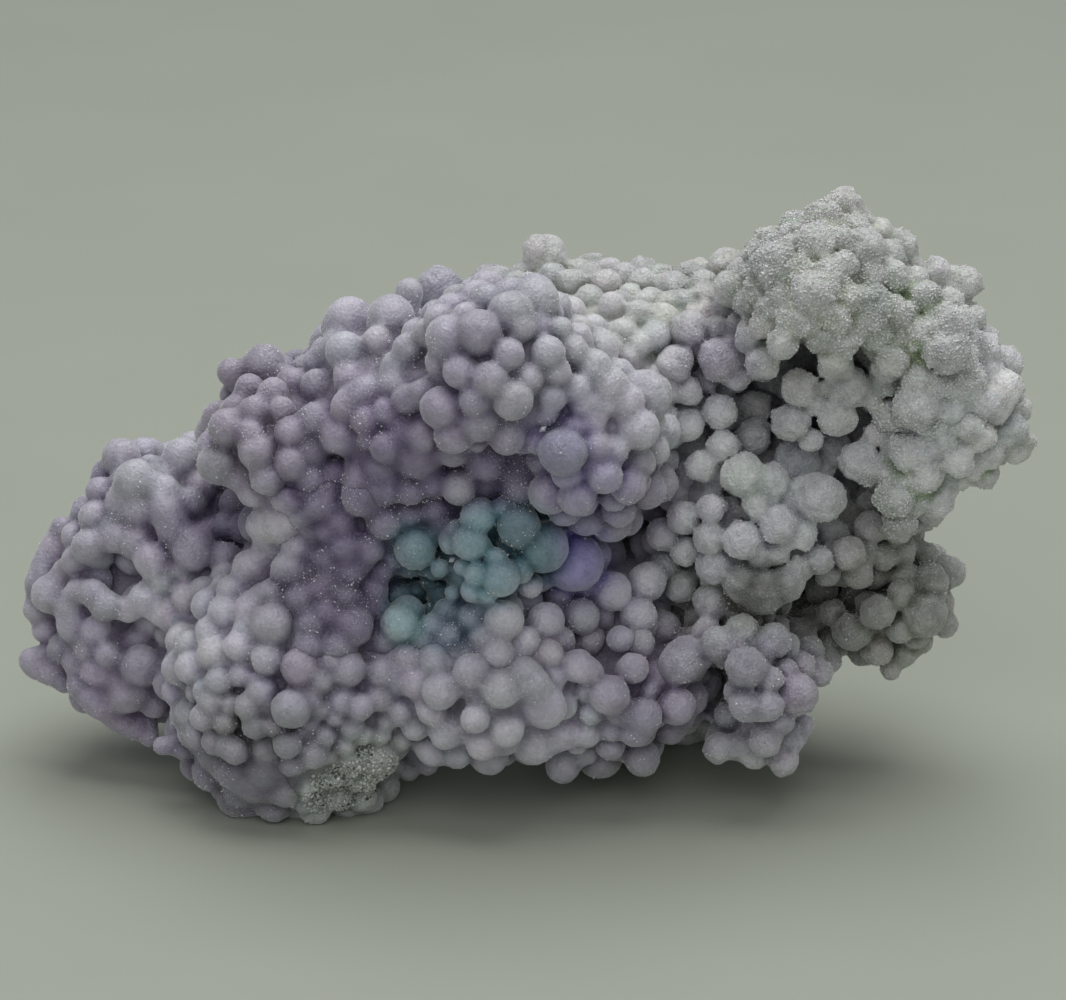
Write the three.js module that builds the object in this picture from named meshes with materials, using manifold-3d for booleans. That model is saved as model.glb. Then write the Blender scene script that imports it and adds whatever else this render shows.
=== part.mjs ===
// Grape agate: one specimen of chalcedony, about 91 mm long, whose skin is hundreds of beads grown
// together. It is a single solid: a lumpy body, the larger beads fused to it, and the flat contact it
// rests on. Millimetres, +X along the length, +Y away from the viewer, +Z up.
import * as THREE from "three";
import { ConvexGeometry } from "three/addons/geometries/ConvexGeometry.js";
import { mergeVertices } from "three/addons/utils/BufferGeometryUtils.js";
import Module from "manifold-3d";

const wasm = await Module();
wasm.setup();

// Driving dimensions
const LENGTH = 91; // left tip to right tip
const VIEW_DISTANCE = 400; // from the viewer's eye to the middle of the specimen
const VIEW_ELEVATION = THREE.MathUtils.degToRad(20); // the eye looks down by this much
const EYE_LEVEL_POINT = 29; // height that the middle of the picture looks at
const FRONT_BEAD = { least: 1.5, most: 2.1 }; // radii of the beads between those read off the picture
const BACK_BEAD = { least: 2.1, most: 3 }; // bead radii on the sides that the viewer doesn't see
const BEAD_CORNER_REACH = 1.08; // corners stand out this much, so that a bead's faces average its radius
const SEAT_SHARE = 0.3; // how far a bead's middle stands out of the body, as a share of its radius
const NECK_NEEDED = 0.55; // a bead that stands out further than this share has a neck
const RING_CORNERS = 5; // corners in the ring round a bead's tip
const RING_OUT = 0.74; // the ring's radius, as a share of the bead's
const RING_UP = 0.67; // the ring's height over the bead's middle, as a share of its radius
const FILL_AREA = 18.5; // square millimetres of bare lump to a corner
const NECK_SHARE = 0.62; // a bead's neck, as a share of its radius
const NECK_SINK = 1.6; // how far a neck runs on into the body
const TRIES_PER_LUMP = 25; // places tried for hidden beads on each lump
const SEED = 7;

// The picture that bead places are read from, in its pixels
const PICTURE_MIDDLE = { x: 533, y: 500 };
const LEFT_TIP_X = 20;
const RIGHT_TIP_X = 1037;
const PIXELS_PER_MM = (RIGHT_TIP_X - LEFT_TIP_X) / LENGTH;
const FOCAL_PIXELS = PIXELS_PER_MM * VIEW_DISTANCE;

// The body under the beads: ellipsoids by centre x, y, z and radii x, y, z
const BODY = {
  leftTip: [-39.5, 11, 15.3, 5.6, 7, 7.6],
  leftEnd: [-32, 11, 17.5, 11.5, 9, 12],
  leftUnder: [-36, 8.5, 10.5, 7, 6, 5.4],
  leftBack: [-20, 15, 20, 14, 9, 14],
  leftFoot: [-20.5, 0, 11, 12.5, 9.5, 13],
  pinkShoulder: [-22.5, 4, 32, 7, 8, 7.5],
  upperLeft: [-12, 4, 36, 8.8, 10, 8.4],
  basinFloor: [-14, 11, 26, 14, 11, 14],
  basinFront: [-15, 3, 27, 9, 7, 8],
  underRidge: [-5, 2.5, 30, 8, 7, 6],
  tealKnot: [-4.2, -2.8, 24.2, 4.8, 4.6, 4.8],
  ridgeTop: [-3, -2.5, 41.3, 8.5, 8, 8],
  ridgeEnd: [4.5, -2, 35.5, 7, 7.5, 7],
  middle: [0, 10, 26, 16, 12.5, 15],
  topBack: [4, 17, 27.5, 20, 10, 18],
  topMiddle: [7, 8, 37, 8, 8, 8],
  lowerMiddle: [-4.5, -3.5, 13.5, 8.5, 7, 7.2],
  lowerRight: [6, 1, 11.5, 9, 8, 7.1],
  bottomRight: [18.8, 0.5, 11.5, 6.4, 7.5, 6.5],
  rightMiddle: [21, 11, 25, 12, 12, 13],
  rightTop: [26, 7, 44.3, 8.7, 9.5, 8.4],
  topSaddle: [17, 12, 38, 9, 9, 8.5],
  rightCrust: [36.8, 6, 35.3, 6.9, 7, 6.7],
  rightShoulder: [34.5, 7, 42.5, 5.5, 7, 5],
  rightUnder: [32, 8, 29, 6, 7, 6],
  rightLobe: [32, 10.5, 16.8, 6, 7, 6.2],
  rightFoot: [13, 18, 8, 11, 8.5, 10],
};

// Hollows cut into the body: the cave under the right crust, the violet pocket on the left, the dark
// gap right of the teal beads and the two below the front lobes
const HOLLOWS = {
  cave: [24.5, 1, 35.5, 7, 10, 6],
  caveFloor: [28, 1, 26.5, 4, 7.5, 4],
  leftPocket: [-27.5, 3, 29.5, 3.6, 6, 4],
  darkGap: [7.5, -3, 24, 3, 5, 3],
  lowerGap: [16.5, -5, 9.5, 2, 5, 4],
  underLobe: [-10, -6, 3.5, 5, 7, 3.5],
};

// Beads read off the picture: pixel x, pixel y, radius in pixels, each group near one depth y
const BEADS_SEEN = {
  leftTop: {
    depth: 12,
    beads: [[228, 428, 20], [182, 457, 20], [121, 459, 20], [89, 546, 20], [54, 550, 16]],
  },
  leftEnd: {
    depth: 4,
    beads: [[150, 518, 20], [193, 551, 20], [155, 570, 18], [146, 598, 17], [100, 600, 20], [50, 600, 25],
      [190, 604, 18], [235, 560, 19], [209, 630, 15], [60, 668, 20], [120, 672, 18], [178, 660, 17],
      [98, 700, 18], [150, 733, 18], [190, 690, 16]],
  },
  pinkCluster: {
    depth: -3,
    beads: [[248, 376, 18], [290, 370, 20], [262, 402, 18], [252, 440, 17], [290, 450, 18], [264, 476, 16]],
  },
  upperLeft: {
    depth: -1,
    beads: [[350, 325, 24], [391, 318, 24], [345, 356, 20], [409, 292, 14], [390, 345, 17], [350, 402, 17],
      [405, 402, 17], [404, 441, 19], [325, 418, 17]],
  },
  ridge: {
    depth: -9,
    beads: [[440, 292, 20], [488, 290, 20], [466, 330, 27], [510, 312, 20], [545, 300, 18], [447, 362, 20],
      [488, 377, 20], [513, 402, 20], [441, 408, 21], [456, 436, 20], [550, 356, 18], [570, 385, 19],
      [600, 376, 20], [626, 398, 20], [638, 429, 20], [643, 391, 18]],
  },
  topBack: {
    depth: 13,
    beads: [[538, 255, 17], [580, 280, 16], [622, 284, 18], [662, 283, 18], [700, 287, 18], [735, 274, 20]],
  },
  topMiddle: {
    depth: 1,
    beads: [[572, 310, 16], [593, 334, 15], [642, 322, 18], [655, 350, 16], [690, 330, 20]],
  },
  basin: {
    depth: -3.5,
    beads: [[458, 488, 17], [361, 497, 17], [318, 503, 14], [272, 535, 18], [290, 572, 17], [386, 524, 16],
      [272, 630, 19], [295, 665, 18], [352, 630, 18], [360, 668, 17]],
  },
  teal: {
    depth: -6.5,
    beads: [[415, 549, 21], [405, 616, 21], [478, 516, 18], [455, 545, 14], [519, 526, 22], [542, 555, 22],
      [501, 578, 19], [477, 578, 15], [565, 565, 20], [436, 627, 16], [471, 618, 14]],
  },
  belowTeal: {
    depth: -4,
    beads: [[504, 620, 20], [546, 621, 19], [582, 617, 18], [612, 591, 20], [647, 582, 20], [637, 618, 20],
      [681, 587, 17]],
  },
  centreRight: {
    depth: -2,
    beads: [[577, 497, 19], [568, 450, 18], [605, 476, 18], [611, 522, 21], [656, 484, 22], [683, 518, 17]],
  },
  lowerLeft: {
    depth: -7,
    beads: [[207, 695, 15], [205, 722, 14], [258, 695, 15], [291, 709, 20], [287, 745, 16], [328, 690, 16],
      [375, 700, 16], [416, 727, 13], [240, 770, 22], [300, 785, 20], [362, 762, 20], [385, 780, 20]],
  },
  lobe: {
    depth: -9.5,
    beads: [[468, 674, 18], [440, 695, 18], [501, 690, 19], [537, 690, 18], [545, 712, 22], [475, 719, 15],
      [507, 730, 17], [440, 752, 17], [478, 746, 17]],
  },
  lowerRight: {
    depth: -4.5,
    beads: [[540, 750, 22], [566, 765, 17], [584, 748, 17], [610, 695, 20], [636, 668, 18], [680, 662, 21],
      [643, 717, 19], [677, 706, 19], [642, 756, 19], [719, 748, 17], [693, 757, 14], [765, 744, 18],
      [790, 738, 18], [784, 762, 15], [744, 706, 18], [797, 694, 21], [746, 665, 21], [773, 641, 18],
      [715, 640, 20], [712, 602, 20], [819, 645, 18], [851, 636, 19]],
  },
  frosted: {
    depth: 0,
    beads: [[675, 364, 19], [722, 362, 22], [687, 396, 18], [723, 411, 18], [756, 415, 18], [753, 440, 18],
      [688, 429, 18], [722, 448, 18], [702, 470, 17], [743, 480, 22], [781, 472, 22], [715, 512, 18],
      [743, 538, 20], [778, 522, 20], [815, 503, 21], [822, 535, 17], [763, 582, 27], [711, 550, 18]],
  },
  inTheCave: {
    depth: 2,
    beads: [[799, 388, 20], [845, 408, 22], [795, 424, 20], [836, 364, 18], [861, 458, 21], [831, 451, 18]],
  },
  crust: {
    depth: 0,
    beads: [[760, 265, 22], [774, 300, 20], [790, 242, 20], [816, 244, 20], [840, 222, 22], [866, 249, 20],
      [902, 250, 18], [814, 297, 22], [893, 280, 18], [925, 298, 20], [965, 285, 18], [946, 335, 24],
      [897, 345, 20], [985, 349, 18], [1000, 372, 20], [1004, 400, 20], [950, 384, 20], [916, 410, 24],
      [905, 452, 20], [940, 440, 18], [927, 480, 20], [962, 466, 18], [968, 420, 18], [1012, 434, 20],
      [990, 456, 14], [895, 500, 19]],
  },
  crustFoot: { depth: 6, beads: [[858, 558, 20], [890, 548, 20], [925, 512, 17]] },
  backLobe: {
    depth: 8,
    beads: [[933, 582, 20], [928, 614, 24], [880, 612, 20], [903, 650, 16], [877, 646, 16]],
  },
};

function randomSource(seed) {
  let state = seed;
  return () => {
    state = (state * 1664525 + 1013904223) % 4294967296;
    return state / 4294967296;
  };
}

// A closed three.js shape as a solid that can be joined and cut
function solid(geometry) {
  geometry.deleteAttribute("normal");
  geometry.deleteAttribute("uv");
  const merged = mergeVertices(geometry, 1e-5);
  const vertProperties = new Float32Array(merged.attributes.position.array);
  const triVerts = new Uint32Array(merged.index.array);
  return new wasm.Manifold(new wasm.Mesh({ numProp: 3, vertProperties, triVerts }));
}

function ellipsoid([x, y, z, radiusX, radiusY, radiusZ]) {
  const ball = new THREE.IcosahedronGeometry(1, 1);
  ball.scale(radiusX, radiusY, radiusZ);
  ball.translate(x, y, z);
  return solid(ball);
}

function freeBead(centre, radius) {
  const ball = new THREE.IcosahedronGeometry(radius * BEAD_CORNER_REACH, 0);
  ball.rotateX(centre.z);
  ball.rotateZ(centre.x);
  ball.translate(centre.x, centre.y, centre.z);
  return solid(ball);
}

// Directions spread evenly over a ball, turned about the vertical by a start angle
function evenDirections(count, startAngle) {
  const goldenAngle = Math.PI * (3 - Math.sqrt(5));
  return Array.from({ length: count }, (unused, index) => {
    const level = 1 - (2 * (index + 0.5)) / count;
    const ring = Math.sqrt(1 - level * level);
    const angle = index * goldenAngle + startAngle;
    return new THREE.Vector3(ring * Math.cos(angle), ring * Math.sin(angle), level);
  });
}

// A lump with the beads that grow on it, as one shell. Its corners are chosen as directions from the
// lump's middle: the tip and a ring of corners for each bead, and a few between the beads. The hull of
// the directions joins them up, and each corner then moves out to the bead or the lump that it is on.
function beadedLump(lump, beads) {
  const middle = new THREE.Vector3(lump[0], lump[1], lump[2]);
  const radii = new THREE.Vector3(lump[3], lump[4], lump[5]);
  const corners = [];
  const addCorner = (place) => {
    const offset = place.clone().sub(middle);
    const direction = offset.clone().normalize();
    if (corners.every((other) => other.direction.distanceTo(direction) > 0.035)) {
      corners.push({ direction, reach: offset.length() });
    }
  };
  for (const { centre, radius } of beads) {
    const outward = centre.clone().sub(middle).normalize();
    const sideways = new THREE.Vector3(outward.y, -outward.x, 0.3).cross(outward).normalize();
    addCorner(centre.clone().addScaledVector(outward, radius));
    for (let corner = 0; corner < RING_CORNERS; corner += 1) {
      const turned = sideways.clone().applyAxisAngle(outward, (corner * 2 * Math.PI) / RING_CORNERS);
      const place = centre.clone().addScaledVector(turned, RING_OUT * radius);
      place.addScaledVector(outward, RING_UP * radius);
      if (beads.every((other) => other.centre.distanceTo(place) > 0.97 * other.radius)) {
        addCorner(place);
      }
    }
  }
  const surface = 4 * Math.PI * ((radii.x * radii.y + radii.y * radii.z + radii.z * radii.x) / 3);
  for (const direction of evenDirections(Math.round(surface / FILL_AREA), middle.x)) {
    const place = direction.clone().multiply(radii).add(middle);
    if (beads.every((other) => other.centre.distanceTo(place) > 1.05 * other.radius)) {
      addCorner(place);
    }
  }
  const shell = new ConvexGeometry(corners.map((corner) => corner.direction));
  const place = shell.attributes.position;
  for (let index = 0; index < place.count; index += 1) {
    const direction = new THREE.Vector3().fromBufferAttribute(place, index);
    const corner = corners.find((other) => other.direction.distanceTo(direction) < 1e-4);
    direction.multiplyScalar(corner.reach).add(middle);
    place.setXYZ(index, direction.x, direction.y, direction.z);
  }
  return solid(shell);
}

// The neck that a bead stands on, from its middle to a point inside the body
function neck(from, to, radius) {
  const along = to.clone().sub(from);
  const direction = along.clone().normalize();
  const stem = new THREE.CylinderGeometry(radius, radius, along.length(), 6);
  stem.applyQuaternion(new THREE.Quaternion().setFromUnitVectors(new THREE.Vector3(0, 1, 0), direction));
  const middle = from.clone().addScaledVector(along, 0.5);
  stem.translate(middle.x, middle.y, middle.z);
  return solid(stem);
}

// The point on the line of sight through a pixel, at a depth of the specimen
function seenPoint(pixelX, pixelY, depth) {
  const forward = new THREE.Vector3(0, Math.cos(VIEW_ELEVATION), -Math.sin(VIEW_ELEVATION));
  const upward = new THREE.Vector3(0, Math.sin(VIEW_ELEVATION), Math.cos(VIEW_ELEVATION));
  const eye = new THREE.Vector3(0, 0, EYE_LEVEL_POINT).addScaledVector(forward, -VIEW_DISTANCE);
  const line = forward.clone();
  line.x += (pixelX - PICTURE_MIDDLE.x) / FOCAL_PIXELS;
  line.addScaledVector(upward, (PICTURE_MIDDLE.y - pixelY) / FOCAL_PIXELS);
  return eye.addScaledVector(line, (depth - eye.y) / line.y);
}

// How far a point lies from an ellipsoid's surface, about, and below zero inside it
function distanceTo([x, y, z, radiusX, radiusY, radiusZ], point) {
  const radii = new THREE.Vector3(radiusX, radiusY, radiusZ);
  const offset = point.clone().sub(new THREE.Vector3(x, y, z)).divide(radii);
  const reach = offset.length();
  const steepness = offset.divide(radii).length();
  return steepness > 1e-9 ? (reach * (reach - 1)) / steepness : -Math.min(radiusX, radiusY, radiusZ);
}

// The body less its hollows, as a distance too
function bodyDistance(point) {
  const toBody = Math.min(...Object.values(BODY).map((lump) => distanceTo(lump, point)));
  const toHollow = Math.min(...Object.values(HOLLOWS).map((hollow) => distanceTo(hollow, point)));
  return Math.max(toBody, -toHollow);
}

// Walks from a bead down the steepest way into the body and stops once it is deep enough
function rootOf(centre) {
  const step = 0.5;
  const point = centre.clone();
  for (let count = 0; count < 60 && bodyDistance(point) > -NECK_SINK; count += 1) {
    const here = bodyDistance(point);
    const slope = new THREE.Vector3(
      bodyDistance(point.clone().setX(point.x + 0.2)) - here,
      bodyDistance(point.clone().setY(point.y + 0.2)) - here,
      bodyDistance(point.clone().setZ(point.z + 0.2)) - here,
    );
    point.addScaledVector(slope.normalize(), -step);
  }
  return point;
}

// The rest of the beads: spread evenly over each lump and kept where they are on the outside and clear
// of each other and of the beads read off the picture. Those that face away from the viewer are larger.
function fillerBeads(seen) {
  const random = randomSource(SEED);
  const toEye = new THREE.Vector3(0, -Math.cos(VIEW_ELEVATION), Math.sin(VIEW_ELEVATION));
  const kept = [...seen];
  for (const [x, y, z, radiusX, radiusY, radiusZ] of Object.values(BODY)) {
    const radii = new THREE.Vector3(radiusX, radiusY, radiusZ);
    for (const direction of evenDirections(TRIES_PER_LUMP, random())) {
      const place = direction.clone().multiply(radii).add(new THREE.Vector3(x, y, z));
      const outward = direction.clone().divide(radii).normalize();
      const sizes = outward.dot(toEye) > 0 ? FRONT_BEAD : BACK_BEAD;
      const radius = sizes.least + (sizes.most - sizes.least) * random();
      const covered = bodyDistance(place) < -0.3;
      const nearFloor = place.z < radius + 1;
      const crowded = kept.some((other) => other.centre.distanceTo(place) < 0.9 * (other.radius + radius));
      if (!covered && !nearFloor && !crowded) {
        kept.push({ centre: place, radius });
      }
    }
  }
  return kept.slice(seen.length);
}

// Slides a bead along its line of sight, near its group's depth, until it sits in the body's surface
function seatedPoint(pixelX, pixelY, depth, radius) {
  const reach = { nearer: 6, farther: 8 };
  const step = 0.5;
  let best = seenPoint(pixelX, pixelY, depth);
  for (let shift = -reach.nearer; shift <= reach.farther; shift += step) {
    const place = seenPoint(pixelX, pixelY, depth + shift);
    const distance = bodyDistance(place);
    if (distance < SEAT_SHARE * radius) {
      return place;
    }
    best = distance < bodyDistance(best) ? place : best;
  }
  return best;
}

function seenBeads() {
  return Object.values(BEADS_SEEN).flatMap(({ depth, beads }) =>
    beads.map(([pixelX, pixelY, pixelRadius]) => {
      const radius = pixelRadius / PIXELS_PER_MM;
      return { centre: seatedPoint(pixelX, pixelY, depth, radius), radius };
    }),
  );
}

// The lump that a bead grows on
function homeOf(centre) {
  const distances = Object.entries(BODY).map(([name, lump]) => [distanceTo(lump, centre), name]);
  return distances.sort((first, second) => first[0] - second[0])[0][1];
}

function grapeAgate() {
  const seen = seenBeads();
  const beads = [...seen, ...fillerBeads(seen)];
  const isFree = ({ centre, radius }) => bodyDistance(centre) > NECK_NEEDED * radius;
  const seated = beads.filter((bead) => !isFree(bead));
  const shells = Object.entries(BODY).map(([name, lump]) =>
    beadedLump(lump, seated.filter((bead) => homeOf(bead.centre) === name)),
  );
  let specimen = shells.reduce((all, shell) => all.add(shell));
  for (const hollow of Object.values(HOLLOWS)) {
    specimen = specimen.subtract(ellipsoid(hollow));
  }
  for (const { centre, radius } of beads.filter(isFree)) {
    const stem = neck(centre, rootOf(centre), NECK_SHARE * radius);
    specimen = specimen.add(freeBead(centre, radius)).add(stem);
  }
  // the flat contact under both feet
  const floor = new THREE.BoxGeometry(200, 200, 20);
  floor.translate(0, 0, -10);
  specimen = specimen.subtract(solid(floor));
  const result = specimen.getMesh();
  const geometry = new THREE.BufferGeometry();
  geometry.setAttribute("position", new THREE.BufferAttribute(result.vertProperties, result.numProp));
  geometry.setIndex(new THREE.BufferAttribute(result.triVerts, 1));
  // the origin is the middle of the specimen's box, on the surface that it rests on
  geometry.computeBoundingBox();
  const middle = geometry.boundingBox.getCenter(new THREE.Vector3());
  geometry.translate(-middle.x, -middle.y, -geometry.boundingBox.min.z);
  geometry.computeVertexNormals();
  return geometry;
}

const chalcedony = new THREE.MeshStandardMaterial({ color: 0x9d95a5, roughness: 0.45, metalness: 0 });

const model = new THREE.Group();
const specimen = new THREE.Mesh(grapeAgate(), chalcedony);
specimen.name = "grape_agate";
model.add(specimen);

export default model;
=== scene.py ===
# %% [markdown]
# # A grape agate
# The real thing is one stone: a lumpy body of chalcedony whose skin has grown into hundreds of beads, from
# pinhead to pea. Plum and mauve on the left, a knot of teal beads in the middle, a pale sugary crust with
# a cave in it on the right. This lesson dresses the plain model of it with beads, tiny crystals and colour.

# %% Load the frame
import math
import bpy
import numpy as np
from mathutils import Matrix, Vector


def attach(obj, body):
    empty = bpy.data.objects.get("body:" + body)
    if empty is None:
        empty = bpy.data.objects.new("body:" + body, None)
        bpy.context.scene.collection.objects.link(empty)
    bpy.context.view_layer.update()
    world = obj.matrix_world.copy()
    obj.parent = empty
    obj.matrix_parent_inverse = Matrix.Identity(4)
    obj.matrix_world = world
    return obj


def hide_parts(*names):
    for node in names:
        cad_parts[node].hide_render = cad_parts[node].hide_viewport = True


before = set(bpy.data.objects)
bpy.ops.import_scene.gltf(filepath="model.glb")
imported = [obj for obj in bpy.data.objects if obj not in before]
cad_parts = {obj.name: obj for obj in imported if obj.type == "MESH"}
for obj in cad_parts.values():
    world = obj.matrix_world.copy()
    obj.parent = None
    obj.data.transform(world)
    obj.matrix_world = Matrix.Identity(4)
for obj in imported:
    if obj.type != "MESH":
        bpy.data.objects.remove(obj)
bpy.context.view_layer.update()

# %% [markdown]
# ## The camera and the picture's lines of sight
# Every bead that can be counted in the picture has a place there in pixels. A bead also has a depth, which a
# picture doesn't give. So the lesson first sets up the camera, then follows the line of sight through a
# bead's pixel until it meets the body: the bead grows there. Seen from any other side, it still sits on the
# stone. All shapes below are worked out in millimetres, in a frame whose origin is under the picture's
# middle, and are moved to the model's own origin at the end.

# %% The view
PICTURE = (1066, 1000)
PICTURE_MIDDLE = np.array([533.0, 500.0])
LENGTH = 91.0
PIXELS_PER_MM = (1037 - 20) / LENGTH
VIEW_DISTANCE = 400.0
VIEW_ELEVATION = math.radians(20)
EYE_LEVEL_POINT = 29.0
MIDDLE = np.array([-0.66, 8.48, 0.0])
MM = 0.001
FORWARD = np.array([0.0, math.cos(VIEW_ELEVATION), -math.sin(VIEW_ELEVATION)])
UPWARD = np.array([0.0, math.sin(VIEW_ELEVATION), math.cos(VIEW_ELEVATION)])
EYE = np.array([0.0, 0.0, EYE_LEVEL_POINT]) - VIEW_DISTANCE * FORWARD
FOCAL_PIXELS = PIXELS_PER_MM * VIEW_DISTANCE


def sight_points(pixels, depths):
    """The points on the lines of sight through the pixels, where y equals the depths: the eye plus a
    multiple of the line's direction. Pixels are rows of x and y, and depths are broadcast against them."""
    offset = (np.asarray(pixels, float) - PICTURE_MIDDLE) / FOCAL_PIXELS
    line = FORWARD + offset[..., :1] * np.array([1.0, 0.0, 0.0]) - offset[..., 1:2] * UPWARD
    steps = (np.asarray(depths, float) - EYE[1]) / line[..., 1]
    return EYE + line * steps[..., None]


camera_data = bpy.data.cameras.new("camera")
camera_data.sensor_width = 36
camera_data.lens = 36 * FOCAL_PIXELS / PICTURE[0]
camera_data.clip_start = 0.01
camera = bpy.data.objects.new("camera", camera_data)
camera.location = Vector((EYE - MIDDLE) * MM)
camera.rotation_euler = (math.pi / 2 - VIEW_ELEVATION, 0, 0)
bpy.context.collection.objects.link(camera)
bpy.context.scene.camera = camera
print("lens", round(camera_data.lens, 1), "mm")

# %% [markdown]
# ## The body under the beads
# The body is a heap of rounded lumps. It could be modelled as joined balls, but the joints would stay sharp.
# Here it is a distance: a function that says how far any point is from the stone, less than nothing inside.
# A distance is easy to join softly, to hollow out and to put beads on. The lumps are those of the plain
# model: middle x, y, z, then radii x, y, z. A pit is a small hollow at a pixel, with its radius in pixels and
# its depth in millimetres: these are the dark gaps between beads. Where the real beads have melted into one
# mass, the ground is raised towards their crowns, and where they stand apart on stalks, it is sunk further.
# Such places are a pixel, a radius in pixels and a strength, and on the back a point, a reach and a strength.

# %% Lumps and hollows
LUMPS = np.array([
    [-4.2, -2.8, 24.2, 4.8, 4.6, 4.8], [-15, 3, 27, 9, 7, 8], [-5, 2.5, 30, 8, 7, 6],
    [-39.5, 11, 15.3, 5.6, 7, 7.6], [-32, 11, 17.5, 11.5, 9, 12], [-36, 8.5, 10.5, 7, 6, 5.4],
    [-20, 15, 20, 14, 9, 14], [-20.5, 0, 11, 12.5, 9.5, 13], [-22.5, 4, 32, 7, 8, 7.5],
    [-12, 4, 36, 8.8, 10, 8.4], [-14, 11, 26, 14, 11, 14], [-3, -2.5, 41.3, 8.5, 8, 8],
    [4.5, -2, 35.5, 7, 7.5, 7], [0, 10, 26, 16, 12.5, 15], [4, 17, 27.5, 20, 10, 18], [7, 8, 37, 8, 8, 8],
    [-4.5, -3.5, 13.5, 8.5, 7, 7.2], [6, 1, 11.5, 9, 8, 7.1], [18.8, 0.5, 11.5, 6.4, 7.5, 6.5],
    [21, 11, 25, 12, 12, 13], [26, 7, 44.3, 8.7, 9.5, 8.4], [17, 12, 38, 9, 9, 8.5],
    [36.8, 6, 35.3, 6.9, 7, 6.7], [34.5, 7, 42.5, 5.5, 7, 5], [32, 8, 29, 6, 7, 6],
    [32, 10.5, 16.8, 6, 7, 6.2], [13, 18, 8, 11, 8.5, 10],
])
HOLLOWS = np.array([
    [24.5, 1, 35.5, 7, 10, 6], [28, 1, 26.5, 4, 7.5, 4], [-27.5, 3, 29.5, 3.6, 6, 4],
    [7.5, -3, 24, 3, 5, 3], [16.5, -5, 9.5, 2, 5, 4], [-10, -6, 3.5, 5, 7, 3.5],
])
PITS = np.array([
    [114, 574, 24, 3.5], [142, 640, 18, 3], [418, 366, 10, 3], [620, 556, 20, 9], [645, 526, 13, 8],
    [630, 542, 22, 9], [514, 470, 34, 2.5], [802, 606, 28, 9], [850, 594, 24, 9], [888, 588, 12, 5],
    [712, 696, 13, 4], [452, 710, 18, 2], [806, 352, 13, 6], [862, 360, 15, 6], [760, 388, 17, 6],
    [732, 395, 9, 4], [767, 447, 13, 6], [697, 444, 10, 4], [846, 490, 10, 5], [742, 520, 9, 4],
    [660, 640, 8, 2.5], [600, 655, 12, 2.5], [335, 470, 9, 2], [700, 560, 10, 4], [496, 543, 6, 4],
    [598, 500, 7, 3],
])
BLEND = 3.0


def ellipsoid_distance(points, shapes):
    """For each point and shape: q (q - 1) / |p / r squared|, where q is the length of p / r."""
    offset = (points[..., None, :] - shapes[:, :3]) / shapes[:, 3:]
    reach = np.linalg.norm(offset, axis=-1)
    steepness = np.linalg.norm(offset / shapes[:, 3:], axis=-1)
    return reach * (reach - 1) / np.maximum(steepness, 1e-6)


def soft_least(first, second, width):
    """The smaller of two distances, rounded off where they are within a width of each other."""
    near = np.maximum(width - np.abs(first - second), 0) / width
    return np.minimum(first, second) - near * near * width / 4


def lumps_distance(points):
    """All lumps, joined softly one after another."""
    each = ellipsoid_distance(points, LUMPS)
    total = each[..., 0]
    for index in range(1, len(LUMPS)):
        total = soft_least(total, each[..., index], BLEND)
    return total


def seat_on(distance, pixels, share, radii):
    """The first point on each line of sight whose distance is under a share of the bead's radius, or else
    the point that comes closest to the stone."""
    depths = np.arange(-17, 24, 0.25)
    points = sight_points(pixels[:, None, :], np.broadcast_to(depths, (len(pixels), len(depths))))
    values = distance(points) - (share * radii)[:, None]
    hit = values < 0
    index = np.where(hit.any(1), hit.argmax(1), values.argmin(1))
    return points[np.arange(len(pixels)), index]


def hollowed(points, cuts):
    """The lumps less the cuts: the larger of the lumps' distance and the cuts' turned inside out."""
    hollow = ellipsoid_distance(points, cuts).min(-1)
    return -soft_least(-lumps_distance(points), hollow, 1.0)


pit_middles = seat_on(lambda points: hollowed(points, HOLLOWS), PITS[:, :2], 0.0, PITS[:, 2])
pit_radii = PITS[:, 2] / PIXELS_PER_MM
pit_shapes = np.column_stack([pit_middles, pit_radii, PITS[:, 3], pit_radii])
CUTS = np.vstack([HOLLOWS, pit_shapes])


def body_distance(points):
    """The lumps less all hollows and pits."""
    return hollowed(points, CUTS)


FUSED = [
    (330, 560, 80, 0.7), (400, 480, 60, 0.6), (490, 345, 90, 0.45), (600, 380, 50, 0.6),
    (260, 430, 70, 0.8), (620, 285, 90, 0.5), (810, 250, 60, 0.8), (820, 300, 60, 0.8), (945, 345, 45, 0.8),
    (895, 500, 35, 0.8), (255, 775, 62, 1.0), (100, 690, 60, 0.85), (380, 330, 60, 0.8),
    (470, 710, 60, 0.85), (150, 470, 60, 0.7), (514, 468, 42, 0.95),
]
SUNK = [
    (745, 425, 60, 1.8), (795, 500, 50, 1.6), (700, 478, 42, 1.3), (640, 540, 35, 1.0), (700, 690, 70, 1.0),
    (118, 600, 42, 1.6), (150, 560, 30, 1.0), (228, 722, 42, 1.3), (700, 380, 40, 1.2),
]
BACK_FUSED = [
    (-20, 24, 24, 8, 0.85), (7, 27, 33, 8, 0.8), (24, 21, 40, 7, 0.8), (-36, 18, 13, 7, 0.8),
    (2, 22, 13, 7, 0.8), (17, 27, 9, 6, 0.8), (30, 22, 24, 7, 0.85), (-12, 17, 40, 6, 0.7),
]
BACK_SUNK = [
    (-8, 25, 31, 4.5, 1.7), (14, 27, 22, 4.5, 1.6), (-28, 21, 20, 4, 1.5), (28, 17, 33, 4, 1.5),
    (12, 22, 42, 4, 1.3), (-12, 24, 16, 4, 1.6), (35, 17, 16, 3.5, 1.3),
]
SINK = 1.0
RISE = 0.35


def seats_of(spots):
    """The points of the skin behind the first two numbers of each spot, which are its pixel."""
    pixels = np.array(spots, float)[:, :2]
    return seat_on(body_distance, pixels, 0.0, np.zeros(len(pixels)))


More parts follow.
